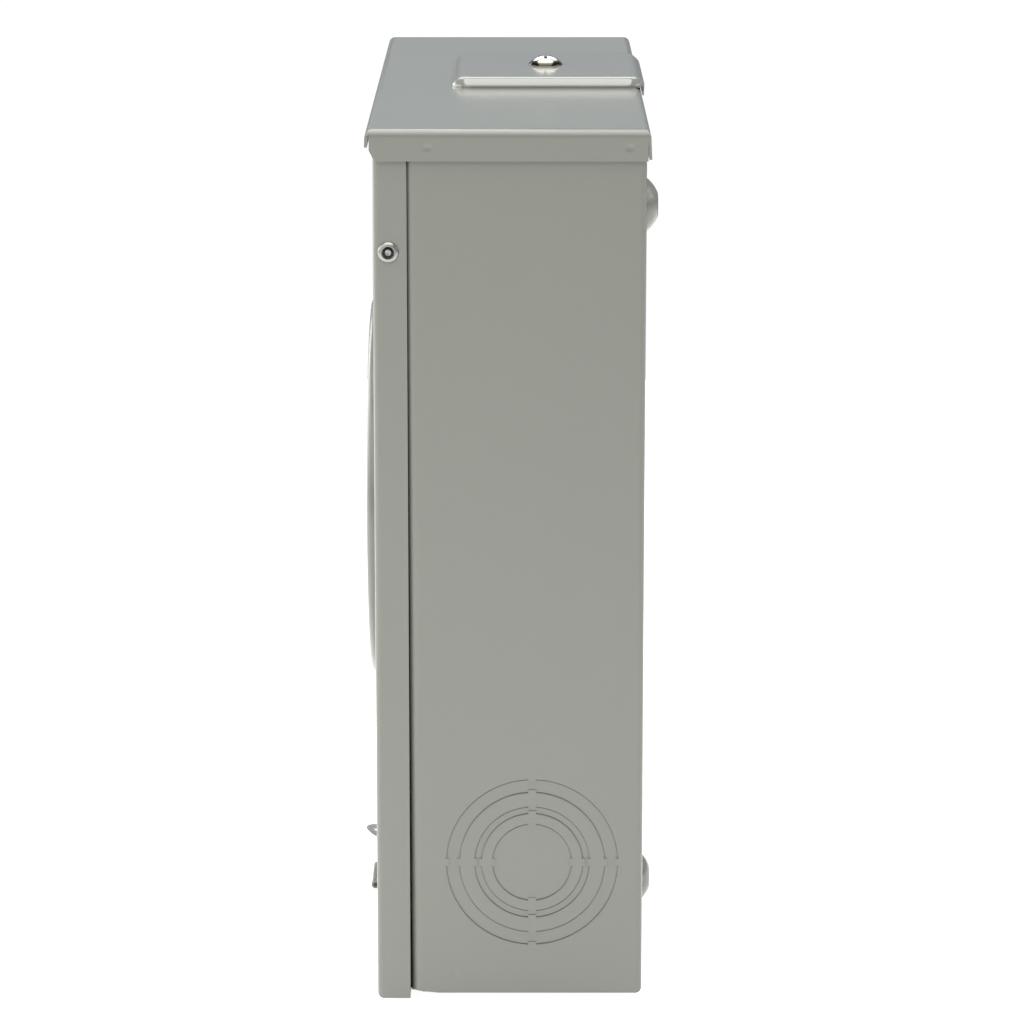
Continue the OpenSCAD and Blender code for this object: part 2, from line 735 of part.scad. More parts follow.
module deadfront_screws() color(zinc)
    for (x = [-deadfront_screw_x, deadfront_screw_x]) for (d = deadfront_screw_d) difference() {
        union() {
            rod_y(x, deadfront_s - 2, deadfront_s, d, 4.5);
            rod_y(x, deadfront_s, deadfront_s + 8, d, screw_r);
        }
        translate([x, y_at(deadfront_s - 2), z_at(d)]) cube([12, 1.6, 1.2], center = true);
    }

// ---- Panel interior ----

// A hat-shaped pan that holds the busbars off the rear wall.
pan_plan = [
    [95, y_at(back_s)], [pan_w / 2, y_at(back_s)], [pan_w / 2, y_at(pan_s)],
    [-pan_w / 2, y_at(pan_s)], [-pan_w / 2, y_at(back_s)], [-95, y_at(back_s)]
];
pan_screw_d = [80, 190, 300];

module interior_pan() color(zinc) difference() {
    down(pan_top_d, pan_bottom_d) bent_sheet(pan_plan, sheet, bend_r);
    for (x = [-87, 87]) for (d = pan_screw_d) rod_y(x, 100, 125, d, screw_r + 0.3);
}

module pan_screws() color(zinc) for (x = [-87, 87]) for (d = pan_screw_d) {
    rod_y(x, back_s - sheet - 2, back_s - sheet, d, 4.5);
    rod_y(x, back_s - sheet, back_s, d, screw_r);
}

// The moulded base under the busbars, with a fence between the rows and along both sides.
module bus_insulator() color(black) difference() {
    w = 92;
    top_d = panel_d - stack_h / 2 - 10;
    bottom_d = panel_d + stack_h / 2 + 10;
    union() {
        block(-w / 2, w / 2, insulator_s, pan_front_s, top_d, bottom_d);
        for (x = [-w / 2, w / 2 - 3]) block(x, x + 3, insulator_s - 10, insulator_s, top_d, bottom_d);
        for (i = [0:rows]) block(-5, 5, insulator_s - 16, insulator_s,
            panel_d - stack_h / 2 + i * row_pitch - 1.2, panel_d - stack_h / 2 + i * row_pitch + 1.2);
    }
    for (x = [-38, 38]) block(x - 3, x + 3, insulator_s - 1, insulator_s + 8, top_d + 8, bottom_d - 8);
}

// One busbar: a strip with a stab for every second row, standing on the panel's centre line.
module bus_bar(side, first_row) color(copper) {
    top_d = panel_d - stack_h / 2 - 30;
    bottom_d = panel_d + stack_h / 2;
    x0 = side > 0 ? bus_x : -bus_x - bus_w;
    block(x0, x0 + bus_w, insulator_s - bus_t, insulator_s, top_d, bottom_d);
    for (row = [first_row:2:rows - 1]) {
        d = panel_d - stack_h / 2 + (row + 0.5) * row_pitch;
        arm_0 = side > 0 ? -3 : -bus_x;
        arm_1 = side > 0 ? bus_x : 3;
        block(arm_0, arm_1, insulator_s - bus_t, insulator_s, d - 6, d + 6);
        block(-1.5, 1.5, insulator_s - 26, insulator_s - bus_t, d - 8, d + 8);
    }
}
module bus_bar_left() bus_bar(-1, 0);
module bus_bar_right() bus_bar(1, 1);

// A bent rail with one hook for each breaker's heel.
module breaker_rail(side) on_side(side) color(zinc) {
    top_d = panel_d - stack_h / 2 - 4;
    bottom_d = panel_d + stack_h / 2 + 4;
    block(rail_x - 12, rail_x, pan_front_s - sheet, pan_front_s, top_d, bottom_d);
    block(rail_x - sheet, rail_x, 62, pan_front_s - sheet, top_d, bottom_d);
    for (row = [0:rows - 1]) {
        d = panel_d - stack_h / 2 + (row + 0.5) * row_pitch;
        block(rail_x - 7, rail_x - 1.5, 62, 63.5, d - 6, d + 6);
        block(rail_x - 7, rail_x - 5.5, 63.5, 67, d - 6, d + 6);
    }
}
module breaker_rail_left() breaker_rail(-1);
module breaker_rail_right() breaker_rail(1);

// A main lug on the upper end of a busbar: a block with the wire's bore along Z.
lug_x = bus_x + bus_w / 2;
lug_s0 = insulator_s - bus_t - 22;
lug_d0 = panel_d - stack_h / 2 - 34;
module lug_block(x, s0, d0, w, h, depth, bore_r) difference() {
    block(x - w / 2, x + w / 2, s0, s0 + depth, d0, d0 + h);
    rod_z(x, s0 + depth / 2 + 1, d0 - 1, d0 + h + 1, bore_r);
    rod_y(x, s0 - 1, s0 + depth / 2, d0 + h / 2, 4);
}
module main_lug_left() color(aluminium) lug_block(-lug_x, lug_s0, lug_d0, 19, 16, 22, 6);
module main_lug_right() color(aluminium) lug_block(lug_x, lug_s0, lug_d0, 19, 16, 22, 6);

// A hollow-hex set screw, standing a little proud of its lug.
module set_screw(x, s0, d, r, proud, length) difference() {
    rod_y(x, s0 - proud, s0 - proud + length, d, r);
    translate([x, y_at(s0 - proud) + 2, z_at(d)]) rotate([90, 0, 0]) cylinder(h = 4, r = r * 0.55, $fn = 6);
}
module lug_screws() color(steel) for (x = [-lug_x, lug_x]) set_screw(x, lug_s0, lug_d0 + 8, 4, 2, 8);

// Neutral terminal bars on moulded standoffs, one on each side.
terminal_pitch = 9;
neutral_count = 14;
neutral_front_s = neutral_s - 10;
neutral_tail = 18;
strap_t = 3;
strap_d = panel_d + stack_h / 2 + 14;
neutral_bar_d = strap_d - 6 - neutral_count * terminal_pitch;
neutral_foot_d = [neutral_bar_d + 2, strap_d - 20];
module neutral_insulator(side) on_side(side) color(black) {
    for (d = neutral_foot_d) block(neutral_x - 9, neutral_x + 9, neutral_s, back_s, d, d + 12);
    block(neutral_x - 3, neutral_x + 3, neutral_s + 6, back_s, neutral_foot_d[0] + 12, neutral_foot_d[1]);
}
module neutral_insulator_left() neutral_insulator(-1);
module neutral_insulator_right() neutral_insulator(1);

module terminal_bar(x, s0, d0, count, tail = 0) difference() {
    block(x - 6, x + 6, s0, s0 + 10, d0, d0 + count * terminal_pitch + tail);
    for (i = [0:count - 1]) {
        rod_x(x - 7, x + 7, s0 + 6, d0 + (i + 0.5) * terminal_pitch, 2.6);
        rod_y(x, s0 - 1, s0 + 6, d0 + (i + 0.5) * terminal_pitch, 2.2);
    }
}
module terminal_screws(x, s0, d0, count) for (i = [0:count - 1]) difference() {
    d = d0 + (i + 0.5) * terminal_pitch;
    union() {
        rod_y(x, s0 - 3.4, s0 - 1.2, d, 3.3);
        rod_y(x, s0 - 1.2, s0 + 3, d, 2.2);
    }
    translate([x, y_at(s0 - 3.4), z_at(d)]) cube([8, 2, 1], center = true);
}
module neutral_bar(x) color(aluminium) difference() {
    terminal_bar(x, neutral_front_s, neutral_bar_d, neutral_count, neutral_tail);
    rod_y(x, neutral_front_s - 1, neutral_s + 1, strap_d + 6, screw_r);
}
module neutral_bar_left() neutral_bar(-neutral_x);
module neutral_bar_right() neutral_bar(neutral_x);
module neutral_screws() color(steel) for (x = [-neutral_x, neutral_x]) {
    terminal_screws(x, neutral_front_s, neutral_bar_d, neutral_count);
    // The last screw holds the strap.
    rod_y(x, neutral_front_s - 2, neutral_front_s, strap_d + 6, 3.6);
    rod_y(x, neutral_front_s, neutral_s + strap_t, strap_d + 6, screw_r);
}

// The strap that joins the two neutral bars below the breakers.
bonding_x = 86;
module neutral_strap() color(aluminium) difference() {
    block(-neutral_x - 6, neutral_x + 6, neutral_s, neutral_s + strap_t, strap_d, strap_d + 12);
    for (x = [-neutral_x, neutral_x, bonding_x]) rod_y(x, neutral_s - 1, neutral_s + 5, strap_d + 6, screw_r);
}
module neutral_lug() color(aluminium) lug_block(-50, neutral_s - 22, strap_d - 2, 19, 16, 22, 6);
module neutral_lug_screw() color(steel) set_screw(-50, neutral_s - 22, strap_d + 6, 4, 2, 8);
module bonding_screw() color(green) {
    rod_y(bonding_x, neutral_s - 2.5, neutral_s, strap_d + 6, 5);
    rod_y(bonding_x, neutral_s, back_s - sheet, strap_d + 6, screw_r);
}

// The earth terminal bar, screwed to the rear wall.
ground_x = 152;
ground_d = 120;
ground_count = 10;
ground_s = back_s - 10;
ground_bottom_d = ground_d + ground_count * terminal_pitch;
ground_ear_d = [ground_d - 7, ground_bottom_d + 7];
module ground_bar() color(aluminium) difference() {
    union() {
        terminal_bar(ground_x, ground_s, ground_d, ground_count);
        block(ground_x - 6, ground_x + 6, back_s - 4, back_s, ground_d - 14, ground_bottom_d + 14);
    }
    for (i = [0:ground_count - 1])
        rod_x(ground_x - 7, ground_x + 7, ground_s + 6, ground_d + (i + 0.5) * terminal_pitch, 2.6);
    for (d = ground_ear_d) rod_y(ground_x, back_s - 5, back_s + 1, d, screw_r);
}
module ground_bar_screws() color(steel) terminal_screws(ground_x, ground_s, ground_d, ground_count);
module ground_mount_screws() color(zinc) for (d = ground_ear_d) {
    rod_y(ground_x, back_s - 6, back_s - 4, d, 4);
    rod_y(ground_x, back_s - 4, back_s, d, screw_r);
}

enclosure_body();
bottom_endwall();
rain_hood();
hub_closure_plate();
hub_gasket();
hub_clamp_bar();
hub_plate_screw();
door();
door_pull();
directory_card();
hinge_arm_left();
hinge_arm_right();
hinge_pin_left();
hinge_pin_right();
door_rivet_left();
door_rivet_right();
latch_bracket();
latch_pin();
latch_spring();
latch_tongue();
deadfront();
deadfront_brackets();
deadfront_screws();
interior_pan();
pan_screws();
bus_insulator();
bus_bar_left();
bus_bar_right();
breaker_rail_left();
breaker_rail_right();
main_lug_left();
main_lug_right();
lug_screws();
neutral_insulator_left();
neutral_insulator_right();
neutral_bar_left();
neutral_bar_right();
neutral_screws();
neutral_strap();
neutral_lug();
neutral_lug_screw();
bonding_screw();
ground_bar();
ground_bar_screws();
ground_mount_screws();
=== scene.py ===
import json
import math

import bmesh
import bpy
import mathutils
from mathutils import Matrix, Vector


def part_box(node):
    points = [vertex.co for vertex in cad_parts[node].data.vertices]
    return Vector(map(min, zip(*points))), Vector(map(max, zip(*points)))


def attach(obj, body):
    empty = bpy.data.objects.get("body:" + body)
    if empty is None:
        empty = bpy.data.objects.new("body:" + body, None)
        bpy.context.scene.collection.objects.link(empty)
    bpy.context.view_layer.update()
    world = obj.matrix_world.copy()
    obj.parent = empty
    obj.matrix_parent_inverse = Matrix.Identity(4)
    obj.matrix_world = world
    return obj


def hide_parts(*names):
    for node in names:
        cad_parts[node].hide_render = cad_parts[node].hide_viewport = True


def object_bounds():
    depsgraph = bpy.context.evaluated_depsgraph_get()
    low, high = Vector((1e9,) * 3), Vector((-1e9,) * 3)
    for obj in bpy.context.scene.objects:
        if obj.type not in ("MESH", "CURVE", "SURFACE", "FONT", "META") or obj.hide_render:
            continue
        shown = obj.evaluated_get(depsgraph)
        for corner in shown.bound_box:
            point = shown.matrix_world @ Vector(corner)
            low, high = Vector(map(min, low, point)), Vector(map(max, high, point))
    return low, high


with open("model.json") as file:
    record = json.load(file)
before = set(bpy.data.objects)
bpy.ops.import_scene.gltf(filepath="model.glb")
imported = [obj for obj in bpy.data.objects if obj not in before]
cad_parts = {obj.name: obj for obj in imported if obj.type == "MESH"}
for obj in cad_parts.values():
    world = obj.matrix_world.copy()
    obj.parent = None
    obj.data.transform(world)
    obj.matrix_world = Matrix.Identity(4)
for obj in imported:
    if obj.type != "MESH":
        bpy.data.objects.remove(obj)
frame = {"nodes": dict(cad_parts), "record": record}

MM = 0.001
LOW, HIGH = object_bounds()

# ---------------------------------------------------------------- camera, floor and lights

CAMERA_AT = (1.99207, -0.06153, 0.27431)
PITCH_DOWN = 12.451
YAW = 0.065
LENS = 151.455
SENSOR = 36.0

# The floor's edges in X and half its width in Y, its depth under the box, and its own light.
FLOOR_X = (-1.3, 6.0)
FLOOR_HALF_Y = 4.0
FLOOR_DROP = 0.0005
FLOOR_GLOW = 0.85

# The lamps face the middle of the box.
MIDDLE = mathutils.Vector((0.0, -0.06, -0.15))


def add_camera():
    """The main view: from the right side, a little above, with a long lens."""
    data = bpy.data.cameras.new("camera")
    data.lens = LENS
    data.sensor_width = SENSOR
    data.clip_end = 50.0
    camera = bpy.data.objects.new("camera", data)
    camera.location = CAMERA_AT
    camera.rotation_euler = (math.radians(90 - PITCH_DOWN), 0.0, math.radians(90 + YAW))
    bpy.context.scene.collection.objects.link(camera)
    bpy.context.scene.camera = camera


def add_floor():
    """A pale floor that glows a little, like the sheet of a light table."""
    (x0, x1), y, z = FLOOR_X, FLOOR_HALF_Y, LOW[2] - FLOOR_DROP
    mesh = bpy.data.meshes.new("floor")
    mesh.from_pydata([(x0, -y, z), (x1, -y, z), (x1, y, z), (x0, y, z)], [], [(0, 1, 2, 3)])
    floor = bpy.data.objects.new("floor", mesh)
    bpy.context.scene.collection.objects.link(floor)
    pale = plain("floor_pale", (0.75, 0.75, 0.75), 0.9)
    shader = pale.node_tree.nodes["Principled BSDF"]
    shader.inputs["Emission Color"].default_value = (1.0, 1.0, 1.0, 1.0)
    shader.inputs["Emission Strength"].default_value = FLOOR_GLOW
    floor.data.materials.append(pale)


def softbox(name, azimuth, elevation, distance, size, radiance):
    """A rectangular lamp that faces the object. Azimuth 0 is +X and 90 is +Y, in degrees."""
    turn, rise = math.radians(azimuth), math.radians(elevation)
    way = mathutils.Vector((math.cos(turn) * math.cos(rise), math.sin(turn) * math.cos(rise),
                            math.sin(rise)))
    data = bpy.data.lights.new(name, "AREA")
    data.shape = "RECTANGLE"
    data.size, data.size_y = size
    data.energy = radiance * math.pi * size[0] * size[1]
    light = bpy.data.objects.new(name, data)
    light.location = MIDDLE + way * distance
    light.rotation_euler = (-way).to_track_quat("-Z", "Y").to_euler()
    bpy.context.scene.collection.objects.link(light)


def add_world():
    """White to the camera; to everything else a grey room, bluish low down and darker above."""
    world = bpy.data.worlds.new("studio")
    bpy.context.scene.world = world
    world.use_nodes = True
    tree = world.node_tree
    seen = tree.nodes["Background"]
    seen.inputs["Color"].default_value = (1.0, 1.0, 1.0, 1.0)
    seen.inputs["Strength"].default_value = 1.02
    room = tree.nodes.new("ShaderNodeBackground")
    coordinates = tree.nodes.new("ShaderNodeTexCoord")
    split = tree.nodes.new("ShaderNodeSeparateXYZ")
    tree.links.new(coordinates.outputs["Generated"], split.inputs["Vector"])
    stops = [(0.0, (0.22, 0.24, 0.27)), (0.15, (0.33, 0.37, 0.41)), (0.28, (0.33, 0.37, 0.41)),
             (0.5, (0.16, 0.17, 0.19)), (1.0, (0.20, 0.20, 0.21))]
    tree.links.new(ramp(tree, split.outputs["Z"], stops), room.inputs["Color"])
    mix = tree.nodes.new("ShaderNodeMixShader")
    path = tree.nodes.new("ShaderNodeLightPath")
    tree.links.new(path.outputs["Is Camera Ray"], mix.inputs["Fac"])
    tree.links.new(room.outputs["Background"], mix.inputs[1])
    tree.links.new(seen.outputs["Background"], mix.inputs[2])
    tree.links.new(mix.outputs["Shader"], tree.nodes["World Output"].inputs["Surface"])


def add_lights():
    add_world()
    softbox("back_top", 180, 48, 1.5, (1.4, 0.7), 3.2)
    softbox("overhead", 0, 88, 1.5, (1.5, 1.2), 4.3)
    softbox("upper_side", 0, 50, 1.5, (1.4, 0.7), 2.35)
    softbox("camera_side", -38, 28, 2.2, (1.2, 1.4), 1.75)
    softbox("far_front", -125, 12, 2.3, (1.8, 1.4), 4.2)
    softbox("front", -85, 22, 1.9, (1.3, 1.3), 2.6)
    softbox("rear", 95, 30, 2.0, (1.3, 1.0), 1.8)
    view = bpy.context.scene.view_settings
    view.view_transform = "Standard"
    view.look = "None"


# ---------------------------------------------------------------- materials

def new_material(name):
    """A material with its node tree and its Principled shader."""
    material = bpy.data.materials.new(name)
    material.use_nodes = True
    tree = material.node_tree
    shader = tree.nodes["Principled BSDF"]
    return material, tree, shader


def plain(name, colour, roughness):
    """A dull, nearly even surface."""
    material, tree, shader = new_material(name)
    shader.inputs["Base Color"].default_value = (*colour, 1.0)
    shader.inputs["Roughness"].default_value = roughness
    noise_colour(tree, shader, colour, 0.02, 3.0)
    return material


def position(tree):
    """Object coordinates in metres."""
    node = tree.nodes.new("ShaderNodeTexCoord")
    return node.outputs["Object"]


def noise(tree, scale, detail=2.0):
    """Noise over the object's own coordinates, with scale in cycles a metre."""
    node = tree.nodes.new("ShaderNodeTexNoise")
    node.inputs["Scale"].default_value = scale
    node.inputs["Detail"].default_value = detail
    node.inputs["Roughness"].default_value = 0.5
    tree.links.new(position(tree), node.inputs["Vector"])
    return node.outputs["Fac"]


def ramp(tree, source, stops):
    """Colours at their places along a value from 0 to 1."""
    node = tree.nodes.new("ShaderNodeValToRGB")
    elements = node.color_ramp.elements
    while len(elements) < len(stops):
        elements.new(0.5)
    for element, (place, colour) in zip(elements, stops):
        element.position = place
        element.color = (*colour, 1.0)
    tree.links.new(source, node.inputs["Fac"])
    return node.outputs["Color"]


def calculate(tree, operation, *values):
    """A Math node of sockets and numbers."""
    node = tree.nodes.new("ShaderNodeMath")
    node.operation = operation
    for value, socket in zip(values, node.inputs):
        if isinstance(value, bpy.types.NodeSocket):
            tree.links.new(value, socket)
        else:
            socket.default_value = value
    return node.outputs["Value"]


def shade(colour, factor):
    return tuple(min(1.0, c * factor) for c in colour)


# Noise seldom leaves this range, which is stretched over the whole of a colour or roughness.
NOISE_LOW, NOISE_HIGH = 0.3, 0.7
PATCH_DETAIL = 3.0


def noise_colour(tree, shader, colour, spread, scale):
    """A base colour that varies by this share to either side."""
    stops = [(NOISE_LOW, shade(colour, 1 - spread)), (NOISE_HIGH, shade(colour, 1 + spread))]
    patches = ramp(tree, noise(tree, scale, PATCH_DETAIL), stops)
    tree.links.new(patches, shader.inputs["Base Color"])


def noise_roughness(tree, shader, low, high, scale):
    node = tree.nodes.new("ShaderNodeMapRange")
    node.inputs["From Min"].default_value = NOISE_LOW
    node.inputs["From Max"].default_value = NOISE_HIGH
    node.inputs["To Min"].default_value = low
    node.inputs["To Max"].default_value = high
    tree.links.new(noise(tree, scale, PATCH_DETAIL), node.inputs["Value"])
    tree.links.new(node.outputs["Result"], shader.inputs["Roughness"])


def bump(tree, shader, height, distance, strength):
    node = tree.nodes.new("ShaderNodeBump")
    node.inputs["Strength"].default_value = strength
    node.inputs["Distance"].default_value = distance
    tree.links.new(height, node.inputs["Height"])
    tree.links.new(node.outputs["Normal"], shader.inputs["Normal"])


def powder_coat(name, colour, roughness=(0.235, 0.25), specular=0.6):
    """Satin powder coat: a fine orange peel over an almost even colour."""
    material, tree, shader = new_material(name)
    noise_colour(tree, shader, colour, 0.006, 14.0)
    noise_roughness(tree, shader, roughness[0], roughness[1], 60.0)
    shader.inputs["Specular IOR Level"].default_value = specular
    bump(tree, shader, noise(tree, 1400.0), 0.00001, 0.25)
    return material


def plated(name, colour, roughness=(0.22, 0.4), metallic=1.0):
    """Plated or plain metal, with faint patches in its colour and polish."""
    material, tree, shader = new_material(name)
    noise_colour(tree, shader, colour, 0.08, 60.0)
    noise_roughness(tree, shader, roughness[0], roughness[1], 180.0)
    shader.inputs["Metallic"].default_value = metallic
    bump(tree, shader, noise(tree, 900.0), 0.00002, 0.3)
    return material


def painted_highlight_and_shade(name, bright, dark, roughness):
    """Plated metal: a painted highlight on the faces that look up or out, and painted shade where
    they turn down to the sheet.
    """
    material, tree, shader = new_material(name)
    geometry = tree.nodes.new("ShaderNodeNewGeometry")
    split = tree.nodes.new("ShaderNodeSeparateXYZ")
    tree.links.new(geometry.outputs["Normal"], split.inputs["Vector"])
    # Painted highlight and painted shade: the colour follows how far the face's normal points up.
    stops = [(0.0, dark), (0.66, dark), (0.86, bright), (1.0, bright)]
    tree.links.new(ramp(tree, split.outputs["Z"], stops), shader.inputs["Base Color"])
    noise_roughness(tree, shader, roughness[0], roughness[1], 600.0)
    shader.inputs["Metallic"].default_value = 1.0
    bump(tree, shader, noise(tree, 1200.0), 0.00002, 0.3)
    return material


# The radius at which the rivet's rings of painted shade end.
RING_REACH = 5.0 * MM


def steel_with_painted_shade_rings(name, bright, dark, node):
    """Steel, with painted shade: a dark ring in the well round a rivet's mandrel, and darkening at
    the flange's rim.
    """
    material, tree, shader = new_material(name)
    low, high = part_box(node)
    split = tree.nodes.new("ShaderNodeSeparateXYZ")
    tree.links.new(position(tree), split.inputs["Vector"])
    squares = []
    for axis, label in ((1, "Y"), (2, "Z")):
        offset = calculate(tree, "SUBTRACT", split.outputs[label], (low[axis] + high[axis]) / 2)
        squares.append(calculate(tree, "MULTIPLY", offset, offset))
    radius = calculate(tree, "SQRT", calculate(tree, "ADD", *squares))
    # Painted shade: dark in the well between mandrel and flange, and towards the flange's rim;
    # bright between.
    stops = [(0.0, bright), (0.23, bright), (0.28, dark), (0.50, dark), (0.55, bright),
             (0.9, bright), (0.95, dark)]
    share = calculate(tree, "DIVIDE", radius, RING_REACH)
    tree.links.new(ramp(tree, share, stops), shader.inputs["Base Color"])
    noise_roughness(tree, shader, 0.26, 0.4, 900.0)
    shader.inputs["Metallic"].default_value = 1.0
    bump(tree, shader, noise(tree, 1500.0), 0.00006, 0.5)
    return material


def moulded(name, colour, roughness=(0.45, 0.6)):
    """Moulded plastic or foam with a fine grain."""
    material, tree, shader = new_material(name)
    noise_colour(tree, shader, colour, 0.15, 30.0)
    noise_roughness(tree, shader, roughness[0], roughness[1], 90.0)
    bump(tree, shader, noise(tree, 1500.0), 0.00003, 0.4)
    return material


def galvanised(name, colour):
    """Zinc-coated sheet, whose crystals show as patches of slightly different greys."""
    material, tree, shader = new_material(name)
    crystals = tree.nodes.new("ShaderNodeTexVoronoi")
    crystals.inputs["Scale"].default_value = 110.0
    tree.links.new(position(tree), crystals.inputs["Vector"])
    split = tree.nodes.new("ShaderNodeSeparateColor")
    tree.links.new(crystals.outputs["Color"], split.inputs["Color"])
    stops = [(0.0, shade(colour, 0.86)), (1.0, shade(colour, 1.12))]
    tree.links.new(ramp(tree, split.outputs["Red"], stops), shader.inputs["Base Color"])
    spread = tree.nodes.new("ShaderNodeMapRange")
    spread.inputs["To Min"].default_value = 0.3
    spread.inputs["To Max"].default_value = 0.5
    tree.links.new(split.outputs["Green"], spread.inputs["Value"])
    tree.links.new(spread.outputs["Result"], shader.inputs["Roughness"])
    shader.inputs["Metallic"].default_value = 1.0
    return material


def ruled_card(name, colour):
    """Stiff paper with the printed lines of a blank circuit table."""
    material, tree, shader = new_material(name)
    split = tree.nodes.new("ShaderNodeSeparateXYZ")
    tree.links.new(position(tree), split.inputs["Vector"])
    flat = tree.nodes.new("ShaderNodeCombineXYZ")
    tree.links.new(split.outputs["X"], flat.inputs["X"])
    tree.links.new(split.outputs["Z"], flat.inputs["Y"])
    lines = tree.nodes.new("ShaderNodeTexBrick")
    lines.offset = 0.0
    lines.inputs["Scale"].default_value = 1.0
    lines.inputs["Brick Width"].default_value = 0.025
    lines.inputs["Row Height"].default_value = 0.0125
    lines.inputs["Mortar Size"].default_value = 0.00035
    lines.inputs["Color1"].default_value = (*colour, 1.0)
    lines.inputs["Color2"].default_value = (*shade(colour, 0.98), 1.0)
    lines.inputs["Mortar"].default_value = (0.16, 0.17, 0.19, 1.0)
    tree.links.new(flat.outputs["Vector"], lines.inputs["Vector"])
    tree.links.new(lines.outputs["Color"], shader.inputs["Base Color"])
    noise_roughness(tree, shader, 0.8, 0.92, 300.0)
    bump(tree, shader, noise(tree, 2500.0, 3.0), 0.00002, 0.4)
    return material


def make_materials():
    return {
        "box_paint": powder_coat("box_paint", (0.186, 0.187, 0.158)),
        "hood_paint": powder_coat("hood_paint", (0.188, 0.189, 0.162), (0.15, 0.165)),
        "plate_paint": powder_coat("plate_paint", (0.186, 0.187, 0.162), (0.12, 0.13), 1.0),
        "door_paint": powder_coat("door_paint", (0.190, 0.191, 0.163)),
        "deadfront_paint": powder_coat("deadfront_paint", (0.190, 0.191, 0.164)),
        "gasket_foam": moulded("gasket_foam", (0.03, 0.03, 0.03), (0.8, 0.9)),
        "zinc_plate": plated("zinc_plate", (0.48, 0.49, 0.50)),
        "latch_zinc": plated("latch_zinc", (0.80, 0.80, 0.82)),
        # The screw's head gets a painted highlight on top and painted shade where it turns down.
        "bright_screw": painted_highlight_and_shade("bright_screw", (0.66, 0.64, 0.57), (0.05, 0.045, 0.035),
                                  (0.12, 0.20)),
        # The rivet's dark rings are painted shade.
        "rivet_steel": steel_with_painted_shade_rings("rivet_steel", (0.33, 0.325, 0.30), (0.06, 0.06, 0.055),
                              "door_rivet_right"),
        "bare_steel": plated("bare_steel", (0.52, 0.51, 0.50)),
        "spring_steel": plated("spring_steel", (0.35, 0.35, 0.35)),
        "zinc_screw": plated("zinc_screw", (0.46, 0.45, 0.42)),
        "galvanised": galvanised("galvanised", (0.60, 0.61, 0.62)),
        "black_moulding": moulded("black_moulding", (0.025, 0.025, 0.028)),
        "plated_copper": plated("plated_copper", (0.72, 0.70, 0.68)),
        "terminal_aluminium": plated("terminal_aluminium", (0.76, 0.77, 0.78), (0.25, 0.4)),
        "green_screw": plated("green_screw", (0.03, 0.30, 0.10), (0.25, 0.35), 0.5),
        "card": ruled_card("card", (0.80, 0.79, 0.74)),
    }


# ---------------------------------------------------------------- CAD nodes that stay

def smooth_by_angle(limit):
    """A node group that shades faces smooth and keeps edges sharper than the limit sharp."""
    tree = bpy.data.node_groups.new("smooth_by_angle", "GeometryNodeTree")
    tree.interface.new_socket(name="Geometry", in_out="INPUT", socket_type="NodeSocketGeometry")
    tree.interface.new_socket(name="Geometry", in_out="OUTPUT", socket_type="NodeSocketGeometry")
    source = tree.nodes.new("NodeGroupInput")
    result = tree.nodes.new("NodeGroupOutput")
    faces = tree.nodes.new("GeometryNodeSetShadeSmooth")
    faces.domain = "FACE"
    faces.inputs["Shade Smooth"].default_value = True
    edges = tree.nodes.new("GeometryNodeSetShadeSmooth")
    edges.domain = "EDGE"
    edges.inputs["Shade Smooth"].default_value = False
    angle = tree.nodes.new("GeometryNodeInputMeshEdgeAngle")
    sharp = tree.nodes.new("FunctionNodeCompare")
    sharp.data_type = "FLOAT"
    sharp.operation = "GREATER_THAN"
    sharp.inputs["B"].default_value = math.radians(limit)
    tree.links.new(angle.outputs["Unsigned Angle"], sharp.inputs["A"])
    tree.links.new(source.outputs["Geometry"], faces.inputs["Geometry"])
    tree.links.new(faces.outputs["Geometry"], edges.inputs["Geometry"])
    tree.links.new(sharp.outputs["Result"], edges.inputs["Selection"])
    tree.links.new(edges.outputs["Geometry"], result.inputs["Geometry"])
    return tree


# How near points are welded, in metres, and the angles in degrees between faces that are
# merged, that are shaded apart, and whose edge is rounded.
WELD_REACH = 0.000002
FLAT_ANGLE = 0.4
SHARP_ANGLE = 38
ROUND_ANGLE = 40


def weigh_normals(piece):
    weigh = piece.modifiers.new("weigh", "WEIGHTED_NORMAL")
    weigh.keep_sharp = True


def soften(piece, group, width):
    """Welds the CAD faces into one skin, rounds its sharp edges and shades its curves smooth."""
    weld = piece.modifiers.new("weld", "WELD")
    weld.merge_threshold = WELD_REACH
    flat = piece.modifiers.new("flat", "DECIMATE")
    flat.decimate_type = "DISSOLVE"
    flat.angle_limit = math.radians(FLAT_ANGLE)
    if width:
        edge = piece.modifiers.new("edge", "BEVEL")
        edge.limit_method = "ANGLE"
        edge.angle_limit = math.radians(ROUND_ANGLE)
        edge.width = width
        edge.segments = 2
        edge.use_clamp_overlap = True
    smooth = piece.modifiers.new("smooth", "NODES")
    smooth.node_group = group
    weigh_normals(piece)


# Widths of the rounded edges, in metres. The others have a fine edge, and the hood's bends,
# which are round already, have none.
EDGE = {
    "rain_hood": 0.0, "door": 0.00025, "door_pull": 0.00020, "latch_tongue": 0.00018,
    "hub_plate_screw": 0.00022, "deadfront": 0.00015, "main_lug_left": 0.0004,
    "main_lug_right": 0.0004, "neutral_lug": 0.0004, "bus_insulator": 0.0003,
    "neutral_insulator_left": 0.0004, "neutral_insulator_right": 0.0004,
}
FINE_EDGE = 0.00010
# These stay as they are.
PLAIN_NODES = ("directory_card", "hub_gasket")


def dress(materials):
    """Gives every CAD node its material and its finer surface."""
    slots = {s["node"]: s["material_slot"] for s in frame["record"]["subparts"]}
    group = smooth_by_angle(SHARP_ANGLE)
    for name, piece in frame["nodes"].items():
        piece.data.materials.clear()
        piece.data.materials.append(materials[slots[name]])
        if name not in PLAIN_NODES:
            soften(piece, group, EDGE.get(name, FINE_EDGE))


# ---------------------------------------------------------------- pieces that replace a CAD node

